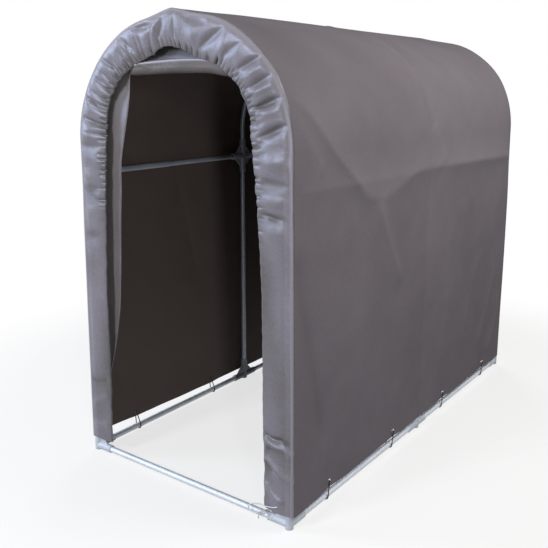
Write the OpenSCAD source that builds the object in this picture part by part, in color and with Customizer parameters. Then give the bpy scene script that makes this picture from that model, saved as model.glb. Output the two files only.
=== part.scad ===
// Fabric-covered cycle shelter: bent tube hoops on a tube base frame, held by
// gusseted socket fittings and dressed with a sewn cover that ties to the base.
// Millimetres. Origin on the ground at the middle of the base, +Z up.
// The doorway is towards -Y.

/* [Frame] */
// Width between the centre lines of the side tubes
frame_w = 910; // [760:5:1400]
// Depth between the centre lines of the front and rear hoops
frame_d = 1820; // [1400:10:2600]
// Height of the ridge tube's centre line
ridge_h = 1614; // [1400:2:2000]
// Slope of the roof in degrees
roof_slope = 12; // [6:1:20]
// Radius of the bend between leg and roof, at the tube's centre line
bend_r = 395; // [250:5:420]
// Distance of the side rails below the start of the bend
rail_drop = 117; // [90:1:400]

/* [Tubes] */
// Outside diameter of the frame tubes
tube_d = 22; // [18:0.5:28]
// Wall of the frame tubes
tube_wall = 1.2; // [0.8:0.1:2]
// Length of the outer half of a two-part side rail, from its socket's floor
sleeve_len = 410; // [300:5:560]
// Length of the inner half of a side rail that slides into the outer half
slip_len = 60; // [30:5:120]
// Length of the ring that joins the two tubes of a hoop half
ring_len = 14; // [10:1:24]
// How far a joint ring stands proud of the tube's faces
ring_wall = 1; // [0.5:0.1:2]

/* [Fittings] */
// Depth of a tube in its socket
socket_len = 60; // [40:1:75]
// Wall of a socket
socket_wall = 2.7; // [2:0.1:4]
// Thickness of the gusset webs
web_t = 5; // [3:0.5:8]
// How far a gusset web stops short of the socket's mouth
web_inset = 8; // [2:1:20]
// How far the feet stand below the base sockets
foot_drop = 3; // [2:0.5:10]
// Gap between pieces that fit in or lie on each other
fit_gap = 0.3; // [0.1:0.05:0.5]

/* [Cover] */
// Thickness of the cover fabric with its coating
cover_t = 1.5; // [0.8:0.1:3]
// Height of the hem above the ground
hem_h = 45; // [40:1:80]
// Width of the turned-in front band round the arch
band_w = 124; // [90:1:160]
// Width of the front band at its foot
band_foot_w = 104; // [80:1:150]

/* [Door] */
// Diameter of the rolled-up door curtain
roll_d = 50; // [30:1:70]
// Distance of the roll's ends from the centre lines of the side tubes
roll_in = 220; // [200:1:300]
// Distance of the roll's axis below the ridge tube
roll_drop = 158; // [130:1:200]
// Width of a door flap at its top
flap_top_w = 210; // [150:1:225]
// Width of a door flap where its edge turns
flap_knee_w = 150; // [100:1:190]
// Width of a door flap at its foot
flap_foot_w = 40; // [30:1:110]
// Height of the turn in a door flap's edge
flap_knee_h = 1050; // [700:5:1150]
// Height of a door flap's foot above the hem
flap_lift = 60; // [20:1:200]

/* [Ties] */
// Bore of the eyelets
eyelet_bore = 8; // [6:0.5:10]
// Width of an eyelet's flange round its barrel
eyelet_flange = 2.4; // [1.5:0.1:4]
// Thickness of an eyelet's metal
eyelet_t = 0.8; // [0.5:0.1:1.2]
// Height of the eyelets above the hem
eyelet_rise = 31; // [25:1:60]
// Distance of the end eyelets of a side from the corner
eyelet_end = 211; // [150:1:260]
// Distance of a front eyelet from the band's outer edge
front_eyelet_in = 45; // [35:1:60]
// Diameter of the elastic hem ties
tie_d = 4; // [3:0.5:5]
// Diameter of the front tie cord
cord_d = 4; // [3:0.5:5]

/* [Hidden] */
$fn = 48;
// Straight pieces in the outline of one bend of the cover
bend_steps = 32;
// Half the space between the two tube ends in a joint ring
ring_gap = 1;
// How far a cut runs past the face that it opens
cut_over = 1;
// Straight pieces of an elastic tie round its tube and through its eyelet
wrap_steps = 9;
turn_steps = 6;

galvanised = [0.66, 0.68, 0.70];
cast_grey = [0.78, 0.79, 0.80];
taupe = [0.36, 0.33, 0.33];
taupe_light = [0.44, 0.42, 0.43];
dark_brown = [0.16, 0.13, 0.12];
beige = [0.62, 0.58, 0.54];
elastic_black = [0.06, 0.06, 0.06];
cord_white = [0.92, 0.92, 0.90];
bright_metal = [0.85, 0.85, 0.84];

half_w = frame_w / 2;
half_d = frame_d / 2;
tube_r = tube_d / 2;
slip_d = tube_d - 2 * (tube_wall + fit_gap);
bore_r = tube_r + fit_gap;
socket_r = bore_r + socket_wall;
// Distance of a socket's floor and of its mouth from the middle of a fitting
seat = socket_r;
arm = seat + socket_len;
web_reach = arm - web_inset;
base_z = socket_r + foot_drop;

// The hoop: leg, one bend and a straight rafter up to the ridge
bend_angle = 90 - roof_slope;
rafter_len = (half_w - bend_r * (1 - cos(bend_angle))) / cos(roof_slope);
spring_h = ridge_h - bend_r * sin(bend_angle) - rafter_len * sin(roof_slope);
rail_h = spring_h - rail_drop;

// The cover lies on the fittings, so its faces are set off from the hoop's centre line
cover_in = socket_r + fit_gap;
cover_out = cover_in + cover_t;
front_y = -half_d - cover_in;
rear_y = half_d + cover_in;

// The door hangs just behind the front hoop and inside its fittings
door_y = -half_d + socket_r + fit_gap;
door_in = socket_r + fit_gap;
roll_len = frame_w - 2 * roll_in;
roll_z = ridge_h - roll_drop;
header_z = roll_z + roll_d / 2 + fit_gap;
flap_z = hem_h + flap_lift;

eyelet_z = hem_h + eyelet_rise;
barrel_r = eyelet_bore / 2 + eyelet_t;
side_eyelet_y = [for (share = [-1, -1 / 3, 1 / 3, 1]) share * (half_d - eyelet_end)];
front_eyelet_x = half_w + cover_out - front_eyelet_in;

// Right front tie: out through its eyelet, a bow in front of the base tube, then once round the tube.
// It is measured from the front eyelet in x and from the front tube in y.
front_tie_route = [
  [0, -4, 76], [0, -19, 76], [-5, -24, 73], [-16, -25, 69], [-30, -24, 65], [-44, -22, 61],
  [-57, -20, 58], [-71, -19, 58], [-88, -19, 55], [-103, -20, 49.5], [-113, -21, 45], [-119, -22.3, 37.5],
  [-117, -23.8, 29.5], [-109, -25, 25], [-98, -26, 24.5], [-85, -27, 27], [-72, -28, 34], [-62, -28, 41],
  [-53, -27, 44], [-46, -23, 41], [-43, -18.5, 34], [-43, -15, 27], [-44, -13.2, 20.5], [-46, -13.2, 13.5],
  [-48, -9.7, 7.3], [-50, -3.5, 3.8], [-52, 3.5, 3.8], [-54, 9.7, 7.3], [-56, 13.2, 13.5], [-58, 13.2, 20.5],
  [-60, 9.7, 26.7], [-63, 3.5, 30.2], [-67, -4.5, 31], [-72, -12, 27.5], [-77, -16.5, 20], [-81, -18, 11],
  [-83, -18, 2.4]
];

module mirror_x() {
  mirror([1, 0, 0]) children();
}

// Ring section of a tube
module tube_section(d) {
  difference() {
    circle(d = d);
    circle(d = d - 2 * tube_wall);
  }
}

// Straight tube along +Z
module tube(len, d = tube_d) {
  linear_extrude(len) tube_section(d);
}

// Turn +Z to lie along +X, +Y or another way round the compass
module along(azimuth) {
  rotate([0, 0, azimuth]) rotate([0, 90, 0]) children();
}

// One socket's outside, from the middle of the fitting
module socket_body() {
  cylinder(r = socket_r, h = arm);
}

// The same, closed just past the far side of the sockets that cross it
module through_socket_body() {
  back = socket_r + fit_gap / 2;
  translate([0, 0, -back]) cylinder(r = socket_r, h = back + arm);
}

// One socket's bore, with the tube's end seated on its floor
module socket_bore(r = bore_r) {
  translate([0, 0, seat]) cylinder(r = r, h = socket_len + cut_over);
}

// Gusset between an upright socket and a level one, above or below it
module upright_web(azimuth, up = 1) {
  rotate([0, 0, azimuth])
    rotate([90, 0, 0])
      linear_extrude(web_t, center = true)
        polygon([[0, 0], [web_reach, 0], [0, up * web_reach]]);
}

// Base fitting with an upright socket, level sockets the ways given and a foot under its middle
module base_fitting(ways) {
  translate([0, 0, base_z])
    difference() {
      union() {
        translate([0, 0, -base_z]) cylinder(r = socket_r, h = base_z + arm);
        for (way = ways) {
          along(way) socket_body();
          upright_web(way);
        }
      }
      socket_bore();
      for (way = ways) along(way) socket_bore();
    }
}

// Fitting on a leg that carries the side rails the ways given
module rail_fitting(ways, rail_bore) {
  translate([half_w, 0, rail_h])
    difference() {
      union() {
        translate([0, 0, -arm]) cylinder(r = socket_r, h = 2 * arm);
        for (way = ways) {
          along(way) socket_body();
          upright_web(way, 1);
          upright_web(way, -1);
        }
      }
      socket_bore();
      rotate([180, 0, 0]) socket_bore();
      for (way = ways) along(way) socket_bore(rail_bore);
    }
}

// Fitting at the peak of a hoop: two sloping sockets, and ridge sockets the ways given
module ridge_fitting(ways) {
  translate([0, 0, ridge_h])
    difference() {
      union() {
        for (side = [0, 180]) {
          rotate([0, 0, side]) rotate([0, 90 + roof_slope, 0]) socket_body();
          for (way = ways) ridge_web(side, way);
        }
        for (way = ways) along(way) through_socket_body();
      }
      for (side = [0, 180]) rotate([0, 0, side]) rotate([0, 90 + roof_slope, 0]) socket_bore();
      for (way = ways) along(way) socket_bore();
    }
}

// Gusset between a sloping socket and a ridge socket
module ridge_web(side, way) {
  turn = (side == 0 ? 1 : -1) * (way > 0 ? 1 : -1);
  rotate([0, 0, side])
    rotate([0, roof_slope, 0])
      linear_extrude(web_t, center = true)
        polygon([[0, 0], [web_reach, 0], [0, turn * web_reach]]);
}

// Right leg of a hoop, seated in its base and rail fittings
module leg() {
  translate([half_w, 0, base_z + seat]) tube(rail_h - base_z - 2 * seat);
}

// Right half of a hoop above the rail: a bent tube and a straight rafter in one joint ring
module arch() {
  ring_gap_angle = ring_gap * 180 / (PI * bend_r);
  translate([half_w, 0, rail_h + seat]) tube(spring_h - rail_h - seat);
  translate([half_w - bend_r, 0, spring_h])
    rotate([90, 0, 0])
      rotate_extrude(angle = bend_angle - ring_gap_angle, $fn = 96)
        translate([bend_r, 0]) tube_section(tube_d);
  translate([0, 0, ridge_h])
    rotate([0, 90 + roof_slope, 0]) {
      translate([0, 0, seat]) tube(rafter_len - seat - ring_gap);
      translate([0, 0, rafter_len - ring_len / 2]) joint_ring();
    }
}

// Crimped ring that holds the two tube ends of a hoop half
module joint_ring() {
  difference() {
    cylinder(r = tube_r + ring_wall, h = ring_len);
    translate([0, 0, -cut_over])
      cylinder(r = tube_r - tube_wall - ring_wall, h = ring_len + 2 * cut_over);
  }
}

// Right rail of the front bay: an outer half and an inner half that slides into it
module rail() {
  start_y = -half_d + seat;
  slip_y = start_y + sleeve_len - slip_len;
  translate([half_w, start_y, rail_h]) rotate([-90, 0, 0]) tube(sleeve_len);
  translate([half_w, slip_y, rail_h]) rotate([-90, 0, 0]) tube(-seat - slip_y, slip_d);
}

// Right base tube of the front bay
module side_base_tube() {
  translate([half_w, -half_d + seat, base_z]) rotate([-90, 0, 0]) tube(half_d - 2 * seat);
}

module cross_base_tube() {
  translate([-half_w + seat, 0, base_z]) rotate([0, 90, 0]) tube(frame_w - 2 * seat);
}

module ridge_tube() {
  translate([0, -half_d + seat, ridge_h]) rotate([-90, 0, 0]) tube(half_d - 2 * seat);
}

// Outline of the hoop from the right bend over the peak to the left one, grown by off
function arch_outline(off) =
  let (r = bend_r + off)
  let (bend = [for (i = [0 : bend_steps]) let (a = i * bend_angle / bend_steps)
    [half_w - bend_r + r * cos(a), spring_h + r * sin(a)]])
  let (peak = [0, ridge_h + off / cos(roof_slope)])
  concat(bend, [peak], [for (i = [bend_steps : -1 : 0]) [-bend[i].x, bend[i].y]]);

// Area under the hoop, grown from its centre line by off and cut level at the foot
module arch_area(off, foot) {
  intersection() {
    translate([-frame_w, foot]) square([2 * frame_w, 2 * ridge_h]);
    polygon(concat([[half_w + off, 0]], arch_outline(off), [[-half_w - off, 0]]));
  }
}

// Stand a drawing in x and z up as a sheet whose front face is at y
module upright_sheet(y, t = cover_t) {
  translate([0, y + t, 0]) rotate([90, 0, 0]) linear_extrude(t) children();
}

module eyelet_hole() {
  cylinder(r = barrel_r + fit_gap / 3, h = 4 * cover_t, center = true);
}

// Eyelet along +Z with its two flanges on the faces of a sheet centred on z = 0
module eyelet() {
  inner = eyelet_bore / 2;
  outer = barrel_r + eyelet_flange;
  half = cover_t / 2;
  rotate_extrude()
    polygon([
      [inner, -half - eyelet_t], [outer, -half - eyelet_t], [outer, -half], [barrel_r, -half],
      [barrel_r, half], [outer, half], [outer, half + eyelet_t], [inner, half + eyelet_t]
    ]);
}

// Places of the eyelets of the right wall, with +Z along the wall's outward face
module at_wall_eyelets() {
  for (y = side_eyelet_y)
    translate([half_w + cover_in + cover_t / 2, y, eyelet_z]) rotate([0, 90, 0]) children();
}

module at_front_eyelet() {
  translate([front_eyelet_x, front_y - cover_t / 2, eyelet_z]) rotate([90, 0, 0]) children();
}

// Right wall of the cover, from hem to the start of the bend
module wall_cover() {
  difference() {
    translate([half_w + cover_in, front_y, hem_h])
      cube([cover_t, rear_y - front_y, spring_h - hem_h]);
    at_wall_eyelets() eyelet_hole();
  }
}

// Roof of the front bay, between the starts of both bends, as far as the seam over the middle hoop
module roof_bay() {
  upright_sheet(front_y, -front_y)
    difference() {
      arch_area(cover_out, spring_h);
      arch_area(cover_in, spring_h - cut_over);
    }
}

// Right leg of the front band, narrower towards its foot
module band_leg() {
  outer = half_w + cover_out;
  difference() {
    upright_sheet(front_y - cover_t)
      polygon([
        [outer, hem_h], [outer, spring_h], [outer - band_w, spring_h], [outer - band_foot_w, hem_h]
      ]);
    at_front_eyelet() eyelet_hole();
  }
}

// Right flap at the side of the doorway, hung from the header
module door_flap() {
  edge = half_w - door_in;
  upright_sheet(door_y)
    intersection() {
      arch_area(-door_in, flap_z);
      polygon([
        [edge, flap_z], [edge, header_z], [edge - flap_top_w, header_z],
        [edge - flap_knee_w, flap_knee_h], [edge - flap_foot_w, flap_z]
      ]);
    }
}

// Sweeping a round cord along points: directions, carried normals and rings
function unit(v) = v / norm(v);

function heading(pts, i, closed) =
  let (n = len(pts))
  let (before = closed ? pts[(i + n - 1) % n] : pts[max(i - 1, 0)])
  let (after = closed ? pts[(i + 1) % n] : pts[min(i + 1, n - 1)])
  unit(after - before);

function carried(pts, closed, normals, i) =
  i == len(pts) ? normals :
  let (t = heading(pts, i, closed))
  let (last = normals[i - 1])
  carried(pts, closed, concat(normals, [unit(last - (last * t) * t)]), i + 1);

function cord_ring(p, t, n, r, sides) =
  let (b = cross(t, n))
  [for (k = [0 : sides - 1]) p + r * (cos(360 * k / sides) * n + sin(360 * k / sides) * b)];

module cord(pts, d, first_normal, closed = false, sides = 8) {
  count = len(pts);
  start = heading(pts, 0, closed);
  normal = unit(first_normal - (first_normal * start) * start);
  normals = carried(pts, closed, [normal], 1);
  rings = [for (i = [0 : count - 1]) cord_ring(pts[i], heading(pts, i, closed), normals[i], d / 2, sides)];
  spans = closed ? count : count - 1;
  skin = [for (i = [0 : spans - 1]) for (k = [0 : sides - 1])
    let (j = (i + 1) % count)
    let (m = (k + 1) % sides)
    [i * sides + k, i * sides + m, j * sides + m, j * sides + k]];
  foot = [for (k = [0 : sides - 1]) sides - 1 - k];
  head = [for (k = [0 : sides - 1]) (count - 1) * sides + k];
  polyhedron([for (ring = rings) each ring], closed ? skin : concat(skin, [foot, head]));
}

// Elastic loop through an eyelet and round a base tube that runs along Y.
// In x it is measured outwards from the tube's centre line.
module tie_loop() {
  wrap = tube_r + tie_d / 2 + fit_gap;
  out_x = cover_out + eyelet_t + tie_d / 2 + fit_gap;
  in_x = cover_in - eyelet_t - tie_d / 2 - fit_gap;
  rise = eyelet_z - base_z;
  leave = atan2(rise, in_x) + acos(wrap / norm([in_x, rise]));
  round_tube = [for (i = [0 : wrap_steps]) let (a = -i * (360 - leave) / wrap_steps)
    [wrap * cos(a), 0, wrap * sin(a)]];
  turn = (out_x - in_x) / 2;
  through = [for (i = [0 : turn_steps]) let (a = 180 - 180 * i / turn_steps)
    [in_x + turn + turn * cos(a), 0, rise + tie_d / 4 * sin(a)]];
  pts = concat(round_tube, through, [[out_x, 0, hem_h - base_z]]);
  translate([0, 0, base_z]) cord(pts, tie_d, [0, 1, 0], closed = true);
}

module front_base_tube() {
  color(galvanised) translate([0, -half_d, 0]) cross_base_tube();
}

module rear_base_tube() {
  color(galvanised) translate([0, half_d, 0]) cross_base_tube();
}

module right_front_base_tube() {
  color(galvanised) side_base_tube();
}

module right_rear_base_tube() {
  color(galvanised) mirror([0, 1, 0]) side_base_tube();
}

module left_front_base_tube() {
  mirror_x() right_front_base_tube();
}

module left_rear_base_tube() {
  mirror_x() right_rear_base_tube();
}

module front_right_corner_fitting() {
  color(cast_grey) translate([half_w, -half_d, 0]) base_fitting([180, 90]);
}

module rear_right_corner_fitting() {
  color(cast_grey) translate([half_w, half_d, 0]) base_fitting([180, -90]);
}

module front_left_corner_fitting() {
  mirror_x() front_right_corner_fitting();
}

module rear_left_corner_fitting() {
  mirror_x() rear_right_corner_fitting();
}

module right_base_tee() {
  color(cast_grey) translate([half_w, 0, 0]) base_fitting([90, -90]);
}

module left_base_tee() {
  mirror_x() right_base_tee();
}

module hoop_leg(y) {
  color(galvanised) translate([0, y, 0]) leg();
}

module hoop_arch(y) {
  color(galvanised) translate([0, y, 0]) arch();
}

module right_rail_fittings() {
  color(cast_grey) {
    translate([0, -half_d, 0]) rail_fitting([90], bore_r);
    rail_fitting([90, -90], slip_d / 2 + fit_gap);
    translate([0, half_d, 0]) rail_fitting([-90], bore_r);
  }
}

module left_rail_fittings() {
  mirror_x() right_rail_fittings();
}

module ridge_fittings() {
  color(cast_grey) {
    translate([0, -half_d, 0]) ridge_fitting([90]);
    ridge_fitting([90, -90]);
    translate([0, half_d, 0]) ridge_fitting([-90]);
  }
}

module right_front_rail() {
  color(galvanised) rail();
}

module right_rear_rail() {
  color(galvanised) mirror([0, 1, 0]) rail();
}

module left_front_rail() {
  mirror_x() right_front_rail();
}

module left_rear_rail() {
  mirror_x() right_rear_rail();
}

module front_ridge_tube() {
  color(galvanised) ridge_tube();
}

module rear_ridge_tube() {
  color(galvanised) mirror([0, 1, 0]) ridge_tube();
}

module front_roof_cover() {
  color(taupe) roof_bay();
}

module rear_roof_cover() {
  color(taupe) mirror([0, 1, 0]) roof_bay();
}

module right_wall_cover() {
  color(taupe) wall_cover();
}

module left_wall_cover() {
  mirror_x() right_wall_cover();
}

module rear_wall_cover() {
  color(taupe) upright_sheet(rear_y) arch_area(cover_out, hem_h);
}

module front_band_right() {
  color(taupe_light) band_leg();
}

module front_band_left() {
  mirror_x() front_band_right();
}

module front_band_arch() {
  color(taupe_light)
    upright_sheet(front_y - cover_t)
      difference() {
        arch_area(cover_out, spring_h);
        arch_area(cover_out - band_w, spring_h - cut_over);
      }
}

module door_header() {
  color(dark_brown) upright_sheet(door_y) arch_area(-door_in, header_z);
}

module door_roll() {
  color(beige)
    translate([-roll_len / 2, door_y + cover_t / 2, roll_z])
      rotate([0, 90, 0]) cylinder(d = roll_d, h = roll_len);
}

module right_door_flap() {
  color(dark_brown) door_flap();
}

module left_door_flap() {
  mirror_x() right_door_flap();
}

module hem_eyelets() {
  color(bright_metal) {
    at_wall_eyelets() eyelet();
    mirror_x() at_wall_eyelets() eyelet();
    at_front_eyelet() eyelet();
    mirror_x() at_front_eyelet() eyelet();
  }
}

module hem_ties() {
  color(elastic_black) {
    for (y = side_eyelet_y) translate([half_w, y, 0]) tie_loop();
    for (y = side_eyelet_y) mirror_x() translate([half_w, y, 0]) tie_loop();
  }
}

module right_front_tie() {
  color(cord_white) translate([front_eyelet_x, -half_d, 0]) cord(front_tie_route, cord_d, [0, 0, 1]);
}

front_base_tube();
rear_base_tube();
left_front_base_tube();
left_rear_base_tube();
right_front_base_tube();
right_rear_base_tube();
front_left_corner_fitting();
front_right_corner_fitting();
rear_left_corner_fitting();
rear_right_corner_fitting();
left_base_tee();
right_base_tee();
mirror_x() hoop_leg(-half_d);  // front_left_leg
hoop_leg(-half_d);  // front_right_leg
mirror_x() hoop_leg(0);  // middle_left_leg
hoop_leg(0);  // middle_right_leg
mirror_x() hoop_leg(half_d);  // rear_left_leg
hoop_leg(half_d);  // rear_right_leg
mirror_x() hoop_arch(-half_d);  // front_left_arch
hoop_arch(-half_d);  // front_right_arch
mirror_x() hoop_arch(0);  // middle_left_arch
hoop_arch(0);  // middle_right_arch
mirror_x() hoop_arch(half_d);  // rear_left_arch
hoop_arch(half_d);  // rear_right_arch
left_rail_fittings();
right_rail_fittings();
ridge_fittings();
left_front_rail();
left_rear_rail();
right_front_rail();
right_rear_rail();
front_ridge_tube();
rear_ridge_tube();
front_roof_cover();
rear_roof_cover();
left_wall_cover();
right_wall_cover();
rear_wall_cover();
front_band_left();
front_band_right();
front_band_arch();
door_header();
door_roll();
left_door_flap();
right_door_flap();
hem_eyelets();
hem_ties();
right_front_tie();
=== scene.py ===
import bpy
import bmesh
import numpy as np
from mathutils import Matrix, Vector


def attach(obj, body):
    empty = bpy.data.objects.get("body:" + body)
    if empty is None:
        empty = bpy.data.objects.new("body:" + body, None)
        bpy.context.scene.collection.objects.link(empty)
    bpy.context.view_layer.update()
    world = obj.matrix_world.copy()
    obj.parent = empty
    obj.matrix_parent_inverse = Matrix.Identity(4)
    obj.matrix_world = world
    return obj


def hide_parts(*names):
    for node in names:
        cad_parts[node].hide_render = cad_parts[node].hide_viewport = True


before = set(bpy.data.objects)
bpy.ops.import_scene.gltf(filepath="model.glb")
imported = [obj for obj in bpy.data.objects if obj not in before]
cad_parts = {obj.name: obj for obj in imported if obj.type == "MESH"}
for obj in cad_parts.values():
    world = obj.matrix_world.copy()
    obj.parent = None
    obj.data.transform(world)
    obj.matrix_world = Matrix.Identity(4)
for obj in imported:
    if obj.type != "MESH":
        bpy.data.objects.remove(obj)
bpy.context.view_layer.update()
scene = bpy.context.scene
scene.view_settings.view_transform = "Standard"
print("frame loaded:", len(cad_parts), "CAD nodes")


def addObject(name, data):
    thing = bpy.data.objects.new(name, data)
    scene.collection.objects.link(thing)
    return thing


# Camera

view = {
    "place": (1.693, -2.683, 1.384),
    "turn": 36.692,  # degrees from straight ahead, towards +X
    "dip": 10.756,  # degrees below level
    "focal": 743.6,  # in pixels of a 548 pixel frame
    "centre": (268.44, 229.82),
    "frame": 548,
}


def addCamera():
    # the camera looks back along a vector built from its turn and dip; the frame is shifted by the
    # distance of the optical centre from the middle of the picture
    turn, dip = np.radians(view["turn"]), np.radians(view["dip"])
    back = Vector((np.sin(turn) * np.cos(dip), -np.cos(turn) * np.cos(dip), np.sin(dip)))
    lens = bpy.data.cameras.new("photoCamera")
    lens.sensor_width = 36
    lens.lens = view["focal"] / view["frame"] * lens.sensor_width
    lens.shift_x = (view["frame"] / 2 - view["centre"][0]) / view["frame"]
    lens.shift_y = (view["centre"][1] - view["frame"] / 2) / view["frame"]
    camera = addObject("photoCamera", lens)
    camera.location = view["place"]
    camera.rotation_euler = (-back).to_track_quat("-Z", "Y").to_euler()
    scene.camera = camera


addCamera()
print("camera placed")


# Mesh tools

def crossed(*axes):
    # every value of each axis with every value of the others
    return np.meshgrid(*axes, indexing="ij")


def stacked(*parts):
    return np.stack(parts, -1)


def weldEnds(mesh):
    # poles and shared ends become single points
    work = bmesh.new()
    work.from_mesh(mesh)
    bmesh.ops.remove_doubles(work, verts=work.verts, dist=1e-6)
    work.to_mesh(mesh)
    work.free()


def gridMesh(name, points, uv, loopRows=False, loopCols=False, flip=False, weld=False):
    # one quad for each cell of a grid of points, closed round in either direction where asked;
    # uv has one more row or column than the points in a closed direction
    rows, cols = points.shape[:2]
    i, j = crossed(np.arange(rows - (not loopRows)), np.arange(cols - (not loopCols)))
    iNext, jNext = (i + 1) % rows, (j + 1) % cols
    quads = stacked(i * cols + j, iNext * cols + j, iNext * cols + jNext, i * cols + jNext).reshape(-1, 4)
    corners = np.stack([uv[i, j], uv[i + 1, j], uv[i + 1, j + 1], uv[i, j + 1]], 2).reshape(-1, 4, 2)
    if flip:
        quads, corners = quads[:, ::-1], corners[:, ::-1]
    mesh = bpy.data.meshes.new(name)
    mesh.vertices.add(rows * cols)
    mesh.vertices.foreach_set("co", points.astype(np.float32).ravel())
    mesh.loops.add(quads.size)
    mesh.loops.foreach_set("vertex_index", quads.astype(np.int32).ravel())
    mesh.polygons.add(len(quads))
    mesh.polygons.foreach_set("loop_start", np.arange(0, quads.size, 4, dtype=np.int32))
    mesh.polygons.foreach_set("use_smooth", np.ones(len(quads), bool))
    mesh.update(calc_edges=True)
    mesh.uv_layers.new(name="cloth").uv.foreach_set("vector", corners.astype(np.float32).ravel())
    if weld:
        weldEnds(mesh)
    return addObject(name, mesh)


def shade(piece, values):
    # a number for each point of the piece, which its material reads: low values paint shade and high ones
    # paint a highlight
    layer = piece.data.attributes.new("fold", "FLOAT", "POINT")
    layer.data.foreach_set("value", np.asarray(values, np.float32).ravel())


def thicken(piece):
    # the cloth's second face lies behind the first one and takes the piece's second material;
    # its open edges are sharp, so that the cut edge doesn't darken the faces beside it
    mesh = piece.data
    edges = np.empty(len(mesh.loops), np.int32)
    mesh.loops.foreach_get("edge_index", edges)
    sharp = mesh.attributes.new("sharp_edge", "BOOLEAN", "EDGE")
    sharp.data.foreach_set("value", np.bincount(edges, minlength=len(mesh.edges)) == 1)
    solid = piece.modifiers.new("thickness", "SOLIDIFY")
    solid.thickness = cloth["thickness"]
    solid.offset = -1
    solid.material_offset = 1


def dress(piece, finishes, slot, *nodes):
    # a piece with two finishes is a sheet of cloth with two faces
    for finish in finishes:
        piece.data.materials.append(finish)
    if len(finishes) > 1:
        thicken(piece)
    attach(piece, "root")
    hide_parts(*nodes)


def smooth(t):
    # cubic step from 0 to 1
    t = np.clip(t, 0, 1)
    return t * t * (3 - 2 * t)


def bell(t):
    # exponential of minus the square
    return np.exp(-t * t)


def tent(t, wide, tip):
    # falls away exponentially on both sides of zero; the tip is rounded over a short way
    return np.exp(-(np.sqrt(t ** 2 + tip ** 2) - tip) / wide)


def steps(*parts):
    # each part has its start, end and number of even points; the parts follow one another
    return np.concatenate([np.linspace(*part)[:-1] for part in parts] + [[parts[-1][1]]])


def bothSides(half):
    # the same places on the negative side too
    return np.concatenate([-half[::-1], half[1:]])


def wayAlong(points):
    # running length along a line of points
    return np.concatenate([[0], np.cumsum(np.linalg.norm(np.diff(points, axis=0), axis=1))])


def smoothLine(points, count):
    # even points on a curve through the given ones: piecewise cubics whose slopes are a weighted mean
    # of those on both sides
    points = np.asarray(points, float)
    along = wayAlong(points)
    slopes = np.gradient(points, along, axis=0)
    dense = np.linspace(0, along[-1], 40 * len(points))
    k = np.clip(np.searchsorted(along, dense, side="right") - 1, 0, len(along) - 2)
    span = (along[k + 1] - along[k])[:, None]
    t = (dense - along[k])[:, None] / span
    curve = ((1 + 2 * t) * (1 - t) ** 2 * points[k] + t * (1 - t) ** 2 * span * slopes[k]
             + t * t * (3 - 2 * t) * points[k + 1] - t * t * (1 - t) * span * slopes[k + 1])
    length = wayAlong(curve)
    even = np.linspace(0, length[-1], count)
    return np.stack([np.interp(even, length, curve[:, axis]) for axis in range(points.shape[1])], -1)


# Materials

def nodesOf(name):
    material = bpy.data.materials.new(name)
    material.use_nodes = True
    tree = material.node_tree
    return material, tree, tree.nodes["Principled BSDF"]


def addNode(tree, kind, **values):
    node = tree.nodes.new(kind)
    for key, value in values.items():
        if key in node.inputs:
            node.inputs[key].default_value = value
        else:
            setattr(node, key, value)
    return node


def feed(tree, node, inputs):
    # an input takes a link from another node or a plain value
    for key, value in inputs.items():
        if hasattr(value, "links"):
            tree.links.new(value, node.inputs[key])
        else:
            node.inputs[key].default_value = value


def mathNode(tree, operation, *values):
    node = addNode(tree, "ShaderNodeMath", operation=operation)
    feed(tree, node, dict(enumerate(values)))
    return node.outputs[0]


def scaled(tree, source, factor, offset=0):
    return mathNode(tree, "MULTIPLY_ADD", source, factor, offset)


def objectTexture(tree, kind="Noise", **values):
    # a texture on the object's own coordinates: the noise, or the distance in a cell
    texture = addNode(tree, "ShaderNodeTex" + kind, **values)
    feed(tree, texture, {"Vector": addNode(tree, "ShaderNodeTexCoord").outputs["Object"]})
    return texture.outputs["Distance" if kind == "Voronoi" else "Fac"]


def uvAxes(tree):
    split = addNode(tree, "ShaderNodeSeparateXYZ")
    feed(tree, split, {0: addNode(tree, "ShaderNodeUVMap", uv_map="cloth").outputs["UV"]})
    return split.outputs["X"], split.outputs["Y"]


def bumpNode(tree, height, strength, depth, **more):
    bump = addNode(tree, "ShaderNodeBump", Strength=strength, Distance=depth)
    feed(tree, bump, {"Height": height, **more})
    return bump.outputs["Normal"]


def rampNode(tree, source, stops):
    ramp = addNode(tree, "ShaderNodeValToRGB")
    while len(ramp.color_ramp.elements) < len(stops):
        ramp.color_ramp.elements.new(.5)
    for element, (place, colour) in zip(ramp.color_ramp.elements, stops):
        element.position = place
        element.color = (*colour, 1)
    feed(tree, ramp, {"Fac": source})
    return ramp.outputs["Color"]


cloth = {
    "light": (.236, .213, .23),  # top of the weave, linear colour
    "dark": (.17, .15, .163),
    "threads": 620,  # threads to the metre
    "rough": (.4, .56),
    "weaveDepth": .0001,
    "crumpleDepth": .0012,
    "thickness": .0009,
}


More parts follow.
